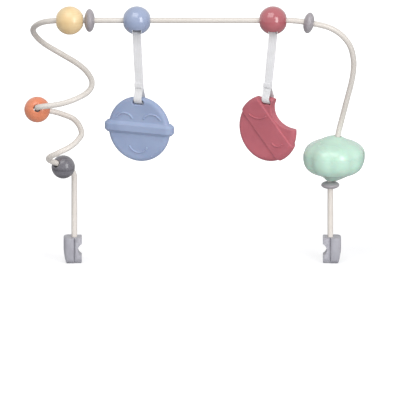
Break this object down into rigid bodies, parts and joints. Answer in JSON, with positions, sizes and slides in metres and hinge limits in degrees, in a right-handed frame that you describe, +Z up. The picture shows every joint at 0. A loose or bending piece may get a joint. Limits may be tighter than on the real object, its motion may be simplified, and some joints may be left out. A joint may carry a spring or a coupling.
{
  "type": "high_chair_toy_bar",
  "caption": "High chair toy bar: coated wire arch with a bead coil, ball beads, two silicone toys on straps, a lobed bead and two arm clips",
  "frame": {"origin": "half way between the arm seats of the two clips, at the middle of their height, in the plane of the two wire legs", "axes": "+X from the left clip to the right clip as the picture shows them, +Y away from the child, +Z up"},
  "size_m": [0.477, 0.1264, 0.3798],
  "materials": {
    "wire_coating": "satin",
    "clip_plastic": "satin",
    "screw_steel": "satin",
    "disc_plastic": "satin",
    "yellow_gloss": "gloss",
    "orange_gloss": "gloss",
    "grey_gloss": "gloss",
    "mint_gloss": "gloss",
    "blue_gloss": "gloss",
    "red_gloss": "gloss",
    "blue_silicone": "matte",
    "red_silicone": "matte",
    "strap_webbing": "woven"
  },
  "bodies": {
    "frame": {"bar_wire": "wire_coating", "left_clip_outer": "clip_plastic", "left_clip_inner": "clip_plastic", "left_upper_screw": "screw_steel", "left_lower_screw": "screw_steel", "right_clip_outer": "clip_plastic", "right_clip_inner": "clip_plastic", "right_upper_screw": "screw_steel", "right_lower_screw": "screw_steel", "stop_disc_left": "disc_plastic", "stop_disc_right": "disc_plastic", "stop_disc_leg": "disc_plastic"},
    "yellow_bead_body": {"yellow_ball": "yellow_gloss"},
    "orange_bead_body": {"orange_bead": "orange_gloss"},
    "grey_bead_body": {"grey_ball": "grey_gloss"},
    "mint_bead_body": {"mint_bead_upper": "mint_gloss", "mint_bead_lower": "mint_gloss"},
    "blue_ball_body": {"blue_ball_front": "blue_gloss", "blue_ball_rear": "blue_gloss"},
    "blue_strap_body": {"blue_strap": "strap_webbing"},
    "blue_toy_body": {"blue_toy": "blue_silicone"},
    "red_ball_body": {"red_ball_front": "red_gloss", "red_ball_rear": "red_gloss"},
    "red_strap_body": {"red_strap": "strap_webbing"},
    "red_toy_body": {"red_toy": "red_silicone"}
  },
  "joints": [
    {"name": "yellow_bead_spin", "type": "hinge", "parent": "frame", "child": "yellow_bead_body", "pos_m": [-0.18567, -0.05436, 0.34014], "axis": [0.9993, -0.0349, 0.0139], "continuous": true},
    {"name": "orange_bead_spin", "type": "hinge", "parent": "frame", "child": "orange_bead_body", "pos_m": [-0.23112, -0.02428, 0.20532], "axis": [0, 0.9455, -0.3256], "continuous": true},
    {"name": "grey_bead_spin", "type": "hinge", "parent": "frame", "child": "grey_bead_body", "pos_m": [-0.19473, -0.01553, 0.12086], "axis": [0.6355, 0.6355, -0.4384], "continuous": true},
    {"name": "mint_bead_spin", "type": "hinge", "parent": "frame", "child": "mint_bead_body", "pos_m": [0.18443, 0, 0.12978], "axis": [0.1633, 0, 0.9866], "continuous": true},
    {"name": "blue_ball_slide", "type": "slide", "parent": "frame", "child": "blue_ball_body", "axis": [1, 0, 0], "range_m": [-0.005, 0.03]},
    {"name": "blue_strap_swing", "type": "hinge", "parent": "blue_ball_body", "child": "blue_strap_body", "pos_m": [-0.0917, -0.055, 0.3404], "axis": [1, 0, 0], "range_deg": [-40, 40]},
    {"name": "blue_toy_swing", "type": "hinge", "parent": "blue_strap_body", "child": "blue_toy_body", "pos_m": [-0.088, -0.055, 0.2289], "axis": [0.9205, -0.3907, 0], "range_deg": [-20, 20]},
    {"name": "red_ball_slide", "type": "slide", "parent": "frame", "child": "red_ball_body", "axis": [1, 0, 0], "range_m": [-0.03, 0.006]},
    {"name": "red_strap_swing", "type": "hinge", "parent": "red_ball_body", "child": "red_strap_body", "pos_m": [0.09901, -0.055, 0.3404], "axis": [1, 0, 0], "range_deg": [-40, 40]},
    {"name": "red_toy_swing", "type": "hinge", "parent": "red_strap_body", "child": "red_toy_body", "pos_m": [0.09201, -0.055, 0.2289], "axis": [0.848, -0.5299, 0], "range_deg": [-20, 20]}
  ]
}
